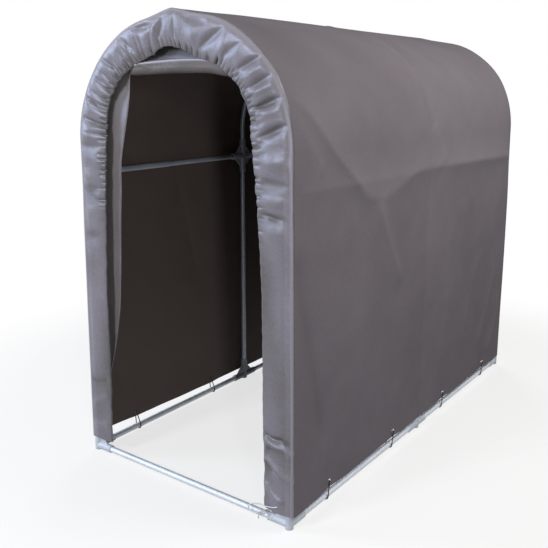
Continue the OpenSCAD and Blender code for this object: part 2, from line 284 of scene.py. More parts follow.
def clothMaterial(name, light, dark, rough, sheen=.1, gloss=(1, 1, 1), shine=.5, folds=.35, crest=1):
    # plain weave: two crossed waves on the sheet's own UV in metres; the coating's colour follows a soft
    # large noise and a fine mottle, and the fold attribute, in the share folds, paints shade in the hollows
    # and a highlight on the crests;
    # crest above one adds a brighter stop for a painted highlight; crumples are a mid-size noise in the bump
    material, tree, shader = nodesOf(name)
    turns = 2 * np.pi * cloth["threads"]
    warp, weft = (mathNode(tree, "SINE", scaled(tree, axis, turns)) for axis in uvAxes(tree))
    threads = mathNode(tree, "MULTIPLY", warp, weft)
    cloud = objectTexture(tree, Scale=3.2, Detail=3)
    mottle = objectTexture(tree, Scale=160, Detail=4)
    crumple = objectTexture(tree, Scale=17, Detail=5, Roughness=.55, Distortion=.6)
    fold = addNode(tree, "ShaderNodeAttribute", attribute_name="fold").outputs["Fac"]
    tone = scaled(tree, threads, .04)
    for source, share in ((cloud, .55), (mottle, .45), (fold, folds)):
        tone = scaled(tree, source, share, tone)
    crumples = bumpNode(tree, crumple, .5, cloth["crumpleDepth"])
    feed(tree, shader, {
        "Base Color": rampNode(tree, tone, [(.22, dark), (.78, light), (1, [crest * c for c in light])]),
        "Roughness": scaled(tree, mottle, rough[1] - rough[0], rough[0]),
        "Normal": bumpNode(tree, threads, .35, cloth["weaveDepth"], Normal=crumples),
        "Specular IOR Level": shine,
        "Specular Tint": (*gloss, 1),
        "Sheen Weight": sheen,
        "Sheen Roughness": .45,
        "Sheen Tint": (*gloss, 1),
    })
    return material


def tubeMaterial(name, dark, light):
    # galvanised steel: pale grey with a crystal pattern from cells, a slow stain and a fine grain in the bump
    material, tree, shader = nodesOf(name)
    stain = objectTexture(tree, Scale=9, Detail=5)
    spangle = objectTexture(tree, "Voronoi", Scale=140)
    tone = scaled(tree, stain, .6, scaled(tree, spangle, .5))
    feed(tree, shader, {
        "Base Color": rampNode(tree, tone, [(.2, dark), (.75, light)]),
        "Roughness": scaled(tree, stain, .25, .42),
        "Normal": bumpNode(tree, objectTexture(tree, Scale=700, Detail=2), .15, .0002),
        "Metallic": .35,
    })
    return material


def plainMaterial(name, scale, detail, stops, rough, grain=0, metal=0):
    # a noise gives the colour between two stops and the roughness; a finer one is the bump, where it has one
    material, tree, shader = nodesOf(name)
    stain = objectTexture(tree, Scale=scale, Detail=detail)
    feed(tree, shader, {
        "Base Color": rampNode(tree, stain, stops),
        "Roughness": scaled(tree, stain, *rough),
        "Metallic": metal,
    })
    if grain:
        feed(tree, shader, {"Normal": bumpNode(tree, objectTexture(tree, Scale=grain, Detail=2), .2, .0002)})
    return material


def braidMaterial(name, light, dark, strands):
    # braided cord: two families of slanting waves on the cord's UV, along it and round it
    material, tree, shader = nodesOf(name)
    along, about = (scaled(tree, axis, 2 * np.pi * turns) for axis, turns in zip(uvAxes(tree), (strands, 4)))
    waves = [mathNode(tree, "SINE", mathNode(tree, slant, along, about)) for slant in ("ADD", "SUBTRACT")]
    tone = scaled(tree, mathNode(tree, "MULTIPLY", *waves), .35, .5)
    feed(tree, shader, {
        "Base Color": rampNode(tree, tone, [(.1, dark), (.8, light)]),
        "Roughness": scaled(tree, tone, .2, .6),
        "Normal": bumpNode(tree, tone, .6, .0004),
    })
    return material


coverOutside = clothMaterial("coated cover cloth", cloth["light"], cloth["dark"], cloth["rough"],
                             sheen=.03, shine=0)
coverInside = clothMaterial("cover backing", (.118, .089, .077), (.083, .063, .054), (.6, .8),
                            sheen=.05, shine=.3)
# a darker copy of the backing for the rear wall's inside: painted shade deep in the shelter
shadedRearBacking = clothMaterial("rear wall backing in painted shade", (.09, .068, .058), (.062, .047, .04), (.6, .8),
                           sheen=.02, shine=.1)
# the band's pale bluish stop is a painted highlight and its brown dark stop painted shade in the hollows;
# crest lifts the painted highlight on the corner's turn
paintedLightBandCloth = clothMaterial("gathered band cloth with painted light", (.214, .192, .21), (.1, .085, .07), (.27, .4),
                            sheen=.18, gloss=(.68, .78, 1), shine=.6, folds=.55, crest=1.35)
doorOutside = clothMaterial("door curtain cloth", (.205, .182, .184), (.125, .106, .104), (.3, .44),
                            sheen=.2, gloss=(.7, .8, 1))
# a darker copy of the curtain cloth: painted shade under the band, paler and bluer towards the roll as a
# painted highlight
shadedDoorHead = clothMaterial("curtain head cloth in painted shade", (.2, .19, .215), (.04, .034, .03), (.45, .6),
                         sheen=.1, gloss=(.7, .8, 1))
# its pale stop is a painted highlight along the roll's lip and its dark stop painted shade on the body below
paintedLightDoorRoll = clothMaterial("rolled curtain cloth with painted light", (.42, .39, .45), (.116, .097, .088), (.34, .48),
                         sheen=.08, gloss=(.85, .88, 1), shine=.25)
tubeSteel = tubeMaterial("galvanised base tube", (.56, .61, .68), (.78, .81, .86))
# the same galvanised steel made darker for the hoops and rails: painted shade inside the cover
shadedHoopSteel = tubeMaterial("galvanised hoop tube in painted shade", (.3, .34, .41), (.46, .5, .56))
fittingPlastic = plainMaterial("moulded fitting", 22, 5, [(.3, (.5, .54, .6)), (.65, (.68, .72, .78))],
                               (.2, .35), grain=420)
nickel = plainMaterial("nickel eyelet", 260, 3, [(.3, (.78, .77, .74)), (.7, (.93, .93, .92))],
                       (.25, .12), metal=1)
blackBraid = braidMaterial("black elastic braid", (.03, .03, .032), (.008, .008, .009), 300)
whiteBraid = braidMaterial("white tie braid", (.86, .86, .85), (.62, .62, .6), 300)
print("materials made")


# The cover's section

hoop = {
    "halfWidth": .455,
    "halfDepth": .91,
    "edgeY": .905,  # the cover's front and rear edges
    "ridge": 1.614,  # height of the ridge tube's centre
    "slope": 12,
    "bend": .395,
    "stand": .0158,  # cover's outer face from the hoop's centre line
    "ridgeRound": .03,
    # at the front hoop, on the left, at the peak and on the right: the cover's way past its edge,
    # and the turn's radius
    "ahead": (.0052, .017, .0113),
    "turn": (.0158, .008, .011),
    "hem": .045,
    "rail": 1.0804,
    # how far the cloth stands off the hoop: way from the ridge and distance, on the arch's halves
    # and on the legs
    "leftEase": [(0, 0), (.08, .003), (.2, .0045), (.32, .0008), (.45, -.0018), (.55, -.0012)],
    "rightEase": [(0, 0), (.08, .003), (.2, .0065), (.32, .0052), (.45, .0058), (.56, .002)],
    "legEase": [(.64, .0002), (.72, 0), (.8, .0004), (.88, .001), (1.0, .0035),
                (1.2, .0042), (1.4, .0035), (1.6, .0015), (1.87, 0)],
}


def coverSection():
    # from the ridge down: a small round, a straight rafter, one circular bend and a straight wall; the slope
    # angle is linear along each of them, and x and z are running sums of its cosine and sine
    tilt = np.radians(hoop["slope"])
    turn = np.pi / 2 - tilt
    rafter = (hoop["halfWidth"] - hoop["bend"] * (1 - np.cos(turn))) / np.cos(tilt)
    spring = hoop["ridge"] - hoop["bend"] * np.sin(turn) - rafter * np.sin(tilt)
    straight = rafter + (hoop["stand"] - hoop["ridgeRound"]) * np.tan(tilt)
    ends = np.cumsum([0, hoop["ridgeRound"] * tilt, straight, (hoop["bend"] + hoop["stand"]) * turn,
                      spring - hoop["hem"]])
    s = np.linspace(0, ends[-1], 6000)
    angle = np.interp(s, ends, [0, tilt, tilt, np.pi / 2, np.pi / 2])
    middle, step = (angle[1:] + angle[:-1]) / 2, np.diff(s)
    top = hoop["ridge"] + hoop["stand"] / np.cos(tilt) - hoop["ridgeRound"] * (1 / np.cos(tilt) - 1)
    x, drop = (np.concatenate([[0], np.cumsum(part(middle) * step)]) for part in (np.cos, np.sin))
    return s, x, top - drop, angle, ends[3], spring


lineS, lineX, lineZ, lineAngle, springAt, springHeight = coverSection()
hemAt = lineS[-1]
edgeY = hoop["edgeY"]
railQ = hoop["rail"] - springHeight  # heights along the cloth are counted from the start of the bend


def sectionAt(u):
    # place and outward normal of the section at a signed distance u from the ridge, to the right positive;
    # the cloth stands off the hoops by a smooth curve through a few places
    s, side = np.abs(u), np.where(u < 0, -1.0, 1.0)
    angle = np.interp(s, lineS, lineAngle)
    left, right = (smoothLine(hoop[half] + hoop["legEase"], 400).T for half in ("leftEase", "rightEase"))
    off = np.where(u < 0, np.interp(s, *left), np.interp(s, *right))
    nx, nz = side * np.sin(angle), np.cos(angle)
    return side * np.interp(s, lineS, lineX) + nx * off, np.interp(s, lineS, lineZ) + nz * off, nx, nz


def foldRidge(y, q, path, height, above, below, fade=.15):
    # the fold's height times an exponential tent in the signed distance from the nearest point of a line,
    # wider on one side than the other, faded towards the line's two ends
    path = smoothLine(path, 14)
    best = np.full(y.shape, np.inf)
    signed, share = np.zeros(y.shape), np.zeros(y.shape)
    for k in range(len(path) - 1):
        (ay, aq), (by, bq) = path[k], path[k + 1]
        dy, dq = by - ay, bq - aq
        t = np.clip(((y - ay) * dy + (q - aq) * dq) / (dy * dy + dq * dq), 0, 1)
        offY, offQ = y - ay - t * dy, q - aq - t * dq
        gap = np.hypot(offY, offQ)
        near = gap < best
        best = np.where(near, gap, best)
        signed = np.where(near, np.sign(dy * offQ - dq * offY) * gap, signed)
        share = np.where(near, (k + t) / (len(path) - 1), share)
    wide = np.where(signed > 0, above, below)
    return height * tent(signed, wide, .005) * smooth(share / fade) * smooth((1 - share) / fade)


def railCrease(y, q, path, above, below):
    # points (y, height along the cloth, rise) joined by a smooth line; t is the distance up from the line
    # times the cosine of its slope, and the crease is the rise times an exponential tent in t
    line = smoothLine(path, 300)
    at, rise = (np.interp(y, line[:, 0], line[:, axis]) for axis in (1, 2))
    slope = np.interp(y, line[:, 0], np.gradient(line[:, 1], line[:, 0]))
    t = (q - at) / np.hypot(1, slope)
    wide = np.where(t > 0, above, below)
    return rise * tent(t, wide, .004)


drape = {
    "roofSag": .024,
    "ridgeLift": .007,  # the ridge is a soft crest over its tube
    "peakLift": .0045,  # the front end of the ridge
    "hemRise": .011,  # the left front corner of the hem
    "rightRise": .006,  # the right hem
    "wallSag": .006,
    "railCrest": .0045,
    "seamDepth": .0024,
    "flare": .01,  # how far the front corners of the hem stand out
    "ripple": .0008,
    "rippleSeed": 5,
    "tug": .0035,  # how far the eyelets draw the hem in
    "hemWave": .002,  # how far it stands out between them
    # the seam over the middle hoop: height along the cloth and y
    "seam": [(-.6, .034), (-.12, .03), (0, .014), (.1, -.004), (.3, -.016), (.72, -.016)],
    # the right side's crease from the front hoop to the rail and along it: y, height along the cloth, rise
    "rightCrease": [
        (-.96, .235, .0), (-.855, .142, .0125), (-.695, -.008, .013), (-.588, -.093, .0135),
        (-.49, -.168, .014), (-.42, -.184, .0145), (-.34, -.179, .0145), (-.25, -.153, .0145),
        (-.15, -.121, .0145), (.03, -.112, .014), (.36, -.117, .014), (.76, -.129, .014), (.96, -.13, .014),
    ],
    # lines of folds on the right side: points (y, height along the cloth), height, width above, width below
    "rightFolds": [
        ([(-.9, .15), (-.854, .053), (-.798, -.019), (-.745, -.075)], .005, .032, .04),
        ([(-.428, -.184), (-.37, -.27), (-.322, -.349), (-.198, -.543)], .0085, .026, .034),
        ([(.03, .06), (.07, .0), (.13, -.115)], .0055, .03, .03),
        ([(-.905, -.25), (-.884, -.38), (-.812, -.689), (-.73, -1.0)], -.0085, .022, .028),
        ([(.4, -.95), (.52, -.72), (.6, -.52)], .003, .04, .04),
        ([(.62, -1.02), (.74, -.8), (.8, -.62)], .004, .035, .035),
        ([(.74, -1.1), (.84, -.93), (.9, -.78)], .0042, .03, .03),
        ([(-.52, -.3), (-.49, -.6), (-.5, -.9)], .0028, .05, .045),
        ([(.2, -.25), (.23, -.6), (.21, -1.0)], .0028, .05, .05),
    ],
    "leftFolds": [
        ([(-.9, .1), (-.74, -.03), (-.6, -.13), (-.42, -.16), (-.2, -.13), (.0, -.112)], .0065, .08, .03),
        ([(.0, -.112), (.3, -.13), (.48, -.165), (.66, -.13), (.9, .02)], .006, .08, .03),
        ([(-.42, -.17), (-.36, -.4), (-.3, -.62)], .0045, .035, .045),
        ([(.48, -.17), (.44, -.42), (.36, -.66)], .004, .045, .035),
        ([(-.86, -.3), (-.82, -.7), (-.74, -1.08)], .005, .04, .06),
        ([(.7, -1.02), (.8, -.82), (.88, -.6)], .004, .035, .04),
        ([(-.08, -.3), (-.1, -.65), (-.06, -1.0)], .003, .06, .06),
    ],
}
eyeletY = np.array([-.699, -.233, .233, .699])
eyeletZ = .076


def softRipple(a, b, seed, count=14, shortest=.1, longest=.34):
    # sum of plane waves of random length, direction and phase, scaled to about one
    rng = np.random.default_rng(seed)
    total = np.zeros(np.broadcast(a, b).shape)
    for length, turn, phase in zip(rng.uniform(shortest, longest, count), rng.uniform(0, np.pi, count),
                                   rng.uniform(0, 2 * np.pi, count)):
        total += np.sin(2 * np.pi / length * (a * np.cos(turn) + b * np.sin(turn)) + phase)
    return total / np.sqrt(count)


def cornerFlare(u):
    # the front edge of a wall leaves the frame in a smooth step from mid height to the hem
    q = springAt - np.abs(u)
    return np.where(u > 0, drape["flare"], .55 * drape["flare"]) * smooth((-q - .35) / .78)


def frontPull(u, y):
    # what the cover and the band share at the front: the peak's lift in a bell along the ridge
    return drape["peakLift"] * bell(u / .06) * smooth((-.86 - y) / .045)


def hemLift(u, y):
    # the hem is drawn up in a smooth step along the cloth, on the left only near the front corner
    left = drape["hemRise"] * bell((y + edgeY) / .3)
    right = drape["rightRise"] * smooth((.86 - y) / .3)
    return np.where(u < 0, left, right) * smooth((np.abs(u) - hemAt + .16) / .16)


def coverDrape(u, y):
    # sag between the hoops, a crest along the side rail, the seam over the middle hoop, the drawn fold lines,
    # soft ripples, and puckers at the hem's eyelets; all of these fade at the front and rear edges, where
    # the corner flare and the peak's lift stay
    q = springAt - np.abs(u)
    bay = np.abs(np.sin(np.pi * y / hoop["halfDepth"]))
    high = np.clip((q - railQ) / (springAt - railQ), 0, 1)
    low = np.clip((railQ - q) / (railQ + springHeight - hoop["hem"]), 0, 1)
    out = -drape["roofSag"] * bay ** .85 * np.sin(np.pi * high) ** (.6 + .8 * high)
    out -= drape["wallSag"] * bay * np.sin(np.pi * low)
    ridge = (.6 + .4 * smooth((.3 - y) / .6)) * (.5 + .5 * smooth((y + .82) / .27))
    out += drape["ridgeLift"] * bell(u / .05) * ridge
    crest = drape["railCrest"] * np.exp(-np.abs(q - railQ) / .06)
    out += crest * np.where((u > 0) & (y > -.55) & (y < -.1), .25, .6 + .3 * (y < -.55))
    seam = smooth((q + .42) / .3) * drape["seamDepth"]
    seamOff = y - np.interp(q, *np.array(drape["seam"]).T)
    out += seam * (bell((seamOff - .01) / .012) - .6 * bell((seamOff + .006) / .007))
    crease = railCrease(y, q, drape["rightCrease"], .135, .024 + .021 * smooth((y + .56) / .16))
    folds = np.where(u > 0, crease, 0)
    for side, group in ((1, "rightFolds"), (-1, "leftFolds")):
        for fold in drape[group]:
            folds += np.where(u * side > 0, foldRidge(y, q, *fold), 0)
    ripple = softRipple(y, q * np.where(u > 0, 1, 1.07) + np.where(u > 0, 0, 3), drape["rippleSeed"])
    out += folds + drape["ripple"] * ripple * smooth((springAt - .1 - q) / .3)
    height = springHeight + q
    tug = bell((y[..., None] - eyeletY) / .05).sum(-1)
    out -= drape["tug"] * tug * bell((height - eyeletZ) / .07)
    wave = np.sin(2 * np.pi * (y / (eyeletY[1] - eyeletY[0]) + .5)) * .5 + .5
    out += drape["hemWave"] * smooth((.35 - height) / .3) * wave * (1 - tug.clip(0, 1))
    inside = smooth((y + edgeY) / .05) * smooth((edgeY - y) / .05)
    return out * inside + cornerFlare(u) * bell((y + edgeY) / .18) + frontPull(u, y), folds


def frontTurn(u):
    # a bell at the peak and a smooth step from the left to the right
    peak, right = bell(u / .1), smooth((u + .12) / .24)
    return [peak * middle + (1 - peak) * (first + (last - first) * right)
            for first, middle, last in (hoop["ahead"], hoop["turn"])]


def coverGrid(u, y):
    # every point of the section moved out along its normal by the drape, and the front edge drawn forwards
    uu, yy = crossed(u, y)
    x, z, nx, nz = sectionAt(uu)
    out, folds = coverDrape(uu, yy)
    ahead = frontTurn(uu)[0] * smooth((-.8 - yy) / .105)
    points = stacked(x + nx * out, yy - ahead, z + nz * out + hemLift(uu, yy))
    return points, stacked(uu, yy - ahead), folds


# closer rows round the bends than on the walls
bends = springAt - .56, springAt + .14
rows = bothSides(steps((0, bends[0], 14), (*bends, 80), (bends[1], hemAt, 74)))
frontColumns = steps((-edgeY, -.04, 122), (-.04, 0, 16))
rearColumns = steps((0, .05, 18), (.05, edgeY, 100))
coverNodes = ["front_roof_cover", "rear_roof_cover", "left_wall_cover", "right_wall_cover"]
for name, columns in (("cover_front_half", frontColumns), ("cover_rear_half", rearColumns)):
    points, uv, folds = coverGrid(rows, columns)
    piece = gridMesh(name, points, uv)
    # the folds' depth paints shade in the hollows and a highlight on the crests
    shade(piece, np.clip(folds / .02, -1, 1) + .3 * (columns[0] == 0))  # the rear panel is a little paler
    dress(piece, (coverOutside, coverInside), "cover_fabric", *coverNodes)
    print(name, "made:", len(piece.data.polygons), "faces a side")


# The gathered front band

band = {
    "span": .13,  # the width that the folds' shares are of
    "curl": .014,  # length of the curl at the elastic edge
    # each half of the elastic edge, distance from the middle and z from the peak to the foot
    "leftEdge": [
        (0, 1.52), (.03, 1.52), (.06, 1.514), (.088, 1.499), (.13, 1.484), (.185, 1.463), (.225, 1.441),
        (.262, 1.413), (.292, 1.378), (.314, 1.343), (.328, 1.3), (.336, 1.23), (.343, 1.14), (.351, 1.03),
        (.356, .9), (.361, .74), (.363, .619), (.366, .4), (.367, .2), (.367, .045),
    ],
    "rightEdge": [
        (0, 1.52), (.04, 1.51), (.09, 1.489), (.145, 1.472), (.19, 1.454), (.235, 1.423), (.272, 1.39),
        (.3, 1.352), (.312, 1.31), (.317, 1.24), (.328, 1.15), (.34, 1.03), (.35, .88), (.357, .7),
        (.363, .42), (.366, .2), (.367, .045),
    ],
    # pleats at the elastic edge, slanting streaks, and puckers on the legs: from, to and step along the hoop
    "pleatPlaces": (-.99, .99, .0225),
    "streakPlaces": (-.66, -.1, .035),
    "puckerPlaces": (.97, 1.58, .03),
    # limits of depth, width inside, width outside and reach of the pleats and of the streaks
    "pleats": ((.001, .0054), (.0026, .0044), (.005, .009), (.12, .3)),
    "streaks": ((.003, .0085), (.005, .009), (.01, .018), (.7, 1.05)),
    "lean": .004,  # the elastic edge stands back by this much
    "puff": .011,  # the arch swells forwards by this much
    "seed": 11,
    # waves over the band, on the legs and along the elastic edge: seed, number, shortest and longest
    "grain": (17, 22, .014, .06),
    "legWaves": (19, 9, .16, .42),
    "edgeWaves": (21, 10, .03, .09),
    # sharp creases: points (way along the hoop, share of the width), depth, half width
    "creases": [
        ([(-.018, .05), (-.046, .44), (-.09, .98)], .0085, .0085),
        ([(.021, .02), (.021, .46), (.026, .96)], .005, .0055),
        ([(.023, .55), (.045, .78), (.068, .98)], .0035, .005),
        ([(.874, .97), (.898, .68), (.904, .12)], .006, .006),
        ([(.54, .99), (.541, .54)], .004, .004), ([(.562, .99), (.559, .6)], .0035, .0038),
        ([(.585, .99), (.571, .52)], .0045, .0042), ([(.612, .99), (.597, .58)], .004, .004),
        ([(.684, .99), (.661, .54)], .0045, .0042), ([(.722, .99), (.701, .62)], .0038, .004),
        ([(.746, .99), (.736, .7)], .0035, .0038), ([(.458, .99), (.456, .66)], .004, .004),
        ([(.495, .99), (.494, .62)], .0042, .004), ([(.363, .99), (.366, .66)], .004, .004),
        ([(.387, .99), (.389, .68)], .004, .004), ([(.291, .99), (.296, .66)], .004, .004),
        ([(1.592, .97), (1.606, .76), (1.606, .45), (1.602, .08)], .01, .006),
        ([(1.646, .96), (1.645, .6), (1.64, .2)], .008, .01),
        ([(1.69, .97), (1.706, .8), (1.722, .7)], .006, .012),
        ([(-.93, .95), (-.905, .55), (-.88, .2)], .003, .008),
        ([(-1.6, .97), (-1.615, .5), (-1.61, .1)], .005, .008),
    ],
    # raised folds, given in the same way
    "ridges": [
        ([(-.055, .1), (-.074, .45), (-.106, .85)], .0045, .009),
        ([(1.604, .98), (1.622, .7), (1.632, .3), (1.64, .04)], .012, .008),
        ([(1.672, .98), (1.692, .7), (1.722, .35), (1.738, .05)], .0115, .009),
        ([(1.757, .98), (1.785, .8), (1.806, .55), (1.812, .25)], .009, .006),
        ([(-1.66, .97), (-1.69, .5), (-1.72, .08)], .005, .014),
        ([(-1.78, .97), (-1.8, .5), (-1.81, .1)], .004, .012),
    ],
    # lens-shaped hollows: from one place to another, depth, half width
    "hollows": [
        ((-.19, .18), (-.078, .28), .009, .015), ((.05, .13), (.172, .18), .006, .013),
        ((.16, .82), (.24, .12), .0095, .018), ((.285, .8), (.318, .18), .005, .012),
        ((.372, .78), (.4, .05), .01, .0155), ((.464, .82), (.464, .08), .01, .0155),
        ((.545, .86), (.536, .06), .014, .018), ((.655, .86), (.618, .06), .014, .017),
        ((.786, .97), (.8, .06), .0075, .018), ((.894, .97), (.902, .06), .005, .015),
        ((-.72, .12), (-.717, .92), .0085, .022), ((-.877, .18), (-.87, .9), .006, .022),
        ((-.612, .2), (-.64, .92), .008, .011), ((-.53, .12), (-.565, .92), .007, .01),
        ((-.26, .1), (-.215, .8), .007, .012), ((-.375, .06), (-.35, .9), .006, .01),
        ((-1.045, .1), (-1.038, .95), .0055, .02),
    ],
    # soft swellings: way along the hoop, share of the width, height, half width along and across
    "swells": [
        (-.675, .5, .006, .022, .3), (-.776, .8, .004, .016, .16), (-.832, .45, .0045, .024, .34),
        (-.962, .52, .0055, .026, .34), (-1.1, .5, .0045, .028, .36), (.736, .42, .0065, .022, .34),
        (.789, .86, .0045, .01, .1), (.852, .48, .007, .021, .38), (.95, .5, .006, .026, .4),
        (.43, .4, .005, .016, .35), (.495, .45, .005, .014, .35), (.575, .5, .0045, .018, .3),
        (.12, .55, .0045, .026, .25), (.27, .55, .0045, .02, .3),
    ],
}


def bandEdge(u):
    # the elastic edge is a smooth curve; on the legs its points are level with the hoop's, and on the arch
    # its length is the hoop's times one share: the way along it is the integral of a speed that steps up
    # smoothly to one
    start, span = .5, .36
    share = np.clip((np.abs(u) - start) / span, 0, 1)
    gained = span * (share ** 3 - share ** 4 / 2) + np.clip(np.abs(u) - start - span, 0, None)
    halves = []
    for side in ("leftEdge", "rightEdge"):
        curve = smoothLine(band[side], 900)
        length = wayAlong(curve)
        slow = 1 - (hemAt - length[-1]) / (start + span / 2)
        at = slow * np.abs(u) + (1 - slow) * gained
        halves.append([np.interp(at, length, curve[:, axis]) for axis in (0, 1)])
    (leftX, leftZ), (rightX, rightZ) = halves
    return np.where(u < 0, -leftX, rightX), np.where(u < 0, leftZ, rightZ)


def pleat(u, t, at, depth, inner, outer, reach, slant):
    # a tent-shaped valley that widens from the elastic edge outwards and dies away with distance from it
    wide = inner + (outer - inner) * (1 - t)
    across = u - at - slant * (1 - t)
    return -depth * tent(across, wide, .0012) * smooth((t - 1 + reach) / (.55 * reach))


def lens(u, v, start, end, depth, wide):
    # a hollow along a straight line, deepest and widest in its middle: a bell across times a parabola along
    (u0, v0), (u1, v1) = start, end
    du, dv = u1 - u0, v1 - v0
    size = np.hypot(du, dv)
    along = 2 * ((u - u0) * du + (v - v0) * dv) / size ** 2 - 1
    across = ((u - u0) * dv - (v - v0) * du) / size
    body = np.clip(1 - along ** 2, 0, 1)
    steep = np.where(across > 0, .75, 1.25)
    return -depth * body * bell(across / (wide * steep * (.35 + .65 * body)))


def arch(u):
    # 1 on the arch, 0 on the legs
    return smooth((.84 - np.abs(u)) / .12)


def bandGathers(u, t):
    # the photographed creases, ridges, hollows and swellings, fine pleats from the elastic edge,
    # slanting streaks on the left of the arch, puckers on the legs, and a fine grain of long thin waves
    rng = np.random.default_rng(band["seed"])
    span = band["span"]
    v = t * span
    out = np.zeros(u.shape)
    for sign, group in ((-1, "creases"), (1, "ridges")):
        for path, height, wide in band[group]:
            fade = .45 if abs(path[0][0]) < 1.5 else .14
            out += sign * foldRidge(u, v, [(a, span * b) for a, b in path], height, wide, wide, fade)
    for start, end, depth, wide in band["hollows"]:
        out += lens(u, v, (start[0], span * start[1]), (end[0], span * end[1]), depth, wide)
    for at, share, height, along, across in band["swells"]:
        out += height * bell((u - at) / along) * bell((t - share) / across)
    for at in np.arange(*band["pleatPlaces"]):
        at = at + rng.normal(0, .007)
        high = 1.4 if -.93 < at < .8 else .7
        depth, inner, outer, reach = (rng.uniform(*limits) for limits in band["pleats"])
        out += pleat(u, t, at, depth * high, inner, outer, reach, rng.normal(0, .01))
    for at in np.arange(*band["streakPlaces"]):
        at = at + rng.normal(0, .009)
        depth, inner, outer, reach = (rng.uniform(*limits) for limits in band["streaks"])
        out += pleat(u, t, at, depth, inner, outer, reach, .035 + rng.normal(0, .02))
    for at in np.arange(*band["puckerPlaces"]):
        for side in (-1, 1):
            place = side * (at + rng.normal(0, .008))
            out += pleat(u, t, place, rng.uniform(.0004, .0014), .005, .008, rng.uniform(.12, .3), 0)
    out += .0002 * softRipple(u, v * .22, *band["grain"])
    legs = smooth((np.abs(u) - .95) / .1)
    out += .0022 * legs * softRipple(u, v * 1.4, *band["legWaves"])
    swell = band["puff"] * (.35 + .65 * arch(u)) * np.sin(np.pi * np.clip(t, 0, 1) ** .85)
    return (1 + .2 * arch(u)) * out + swell


def quarterTurn(w, r, width):
    # a quarter circle of radius r, then straight on over the width: for the way w, the angle turned, the
    # straight part, and the distances inwards and out
    angle = np.clip(w / r, 0, np.pi / 2)
    flat = np.clip(w - r * np.pi / 2, 0, width - r)
    return angle, flat, r * (1 - np.cos(angle)) + flat, r * np.sin(angle)


def bandGrid(u, t):
    # from the cover's front edge the cloth turns a quarter circle round the hoop, then runs along straight
    # lines to the elastic edge, which curls back in a half circle; gathers push it forwards
    uu, tt = crossed(u, t)
    x, z, nx, nz = sectionAt(uu)
    pull, lift = cornerFlare(uu) + frontPull(uu, -edgeY), hemLift(uu, -edgeY)
    x, z = x + nx * pull, z + nz * pull + lift
    ex, ez = bandEdge(uu)
    ez = ez + lift
    width = np.hypot(ex - x, ez - z)
    dx, dz = (ex - x) / width, (ez - z) / width
    ahead, r = frontTurn(uu)
    arc, curl = r * np.pi / 2, band["curl"]
    w = tt * (arc + width - r + curl)
    angle, flat, inward, forward = quarterTurn(w, r, width)
    share = flat / (width - r)
    turn = np.clip(w - arc - (width - r), 0, curl) / (curl / np.pi)
    inward = inward + curl / np.pi * np.sin(turn)
    forward = ahead + forward - band["lean"] * share ** 2 - curl / np.pi * (1 - np.cos(turn))
    gathers = bandGathers(uu, (r + flat) / width)
    # the cloth lies on the hoop beside the outer edge, and on the legs the folds fade sooner towards it
    floor = -.0012 * arch(uu) - .011 * smooth((r + flat - .028) / .03)
    rise = .022 + .03 * smooth((np.abs(uu) - .78) / .1)
    forward = forward + np.maximum(gathers, floor) * smooth((w - arc * .35) / rise)
    inward = inward + .001 * softRipple(uu, 0 * uu, *band["edgeWaves"]) * smooth((share - .8) / .2)
    points = stacked(x + dx * inward, -edgeY - forward, z + dz * inward)
    # the tone: the gathers' depth as painted shade and highlight, a painted highlight along the turn round
    # the hoop and painted shade on its outer side
    cornerHighlightPaint = (2 * bell((angle - 1.05) / .35) - bell(angle / .5)) * (w < 2 * arc)
    return points, stacked(uu, w), np.clip(gathers / .01, -1.2, .45) + cornerHighlightPaint


def buildBand():
    u = bothSides(steps((0, .95, 520), (.95, 1.56, 46), (1.56, hemAt, 76)))
    points, uv, tone = bandGrid(u, steps((0, .3, 12), (.3, .92, 16), (.92, 1, 8)))
    piece = gridMesh("front_band", points, uv, flip=True)
    shade(piece, tone)
    nodes = ["front_band_left", "front_band_right", "front_band_arch"]
    dress(piece, (paintedLightBandCloth, coverInside), "cover_fabric", *nodes)
    print("front band made:", len(piece.data.polygons), "faces a side")


buildBand()


# The rear wall

rear = {
    "round": .0158,
    "straight": .005,  # way behind the cover's edge before the turn
    "sag": .006,
    "ripple": (31, 16, .12, .5),  # seed, number, shortest and longest wave
    # lines of folds: points (x, z), height, width above, width below
    "folds": [
        ([(-.43, .95), (-.3, .8), (-.2, .55)], .006, .05, .03),
        ([(.43, .95), (.3, .78), (.22, .5)], .006, .03, .05),
        ([(-.4, .1), (-.31, .28), (-.27, .48)], .005, .04, .04),
        ([(.4, .1), (.32, .26), (.28, .46)], .005, .04, .04),
        ([(-.3, 1.45), (-.18, 1.25), (-.1, 1.05)], .004, .04, .05),
        ([(.3, 1.45), (.17, 1.22), (.12, 1.0)], .004, .05, .04),
    ],
}


def rearGrid(u, t):
    # the outline turns a quarter circle round the rear hoop, then runs along straight lines to the middle
    # line of the wall, which stops at the start of the bends; a belly, ripples and folds move it in and out
    uu, tt = crossed(u, t)
    x, z = sectionAt(uu)[:2]
    across, down = -x, np.minimum(z, springHeight) - z
    width = np.hypot(across, down)
    r, straight = rear["round"], rear["straight"]
    w = tt * (straight + r * np.pi / 2 + width - r)
    flat, inward, back = quarterTurn(w - straight, r, width)[1:]
    px, pz = x + across / width * inward, z + down / width * inward
    bulge = .002 * softRipple(px, pz, *rear["ripple"]) - rear["sag"]
    for fold in rear["folds"]:
        bulge += foldRidge(px, pz, *fold)
    y = edgeY + np.minimum(w, straight) + back + bulge * smooth(flat / .16)
    return stacked(px, y, pz), stacked(px, pz)


def buildRear():
    points, uv = rearGrid(rows, steps((0, .08, 10), (.08, 1, 44)))
    piece = gridMesh("rear_wall", points, uv, weld=True)
    dress(piece, (coverOutside, shadedRearBacking), "cover_fabric", "rear_wall_cover")
    print("rear wall made:", len(piece.data.polygons), "faces a side")


buildRear()


# The rolled-up door

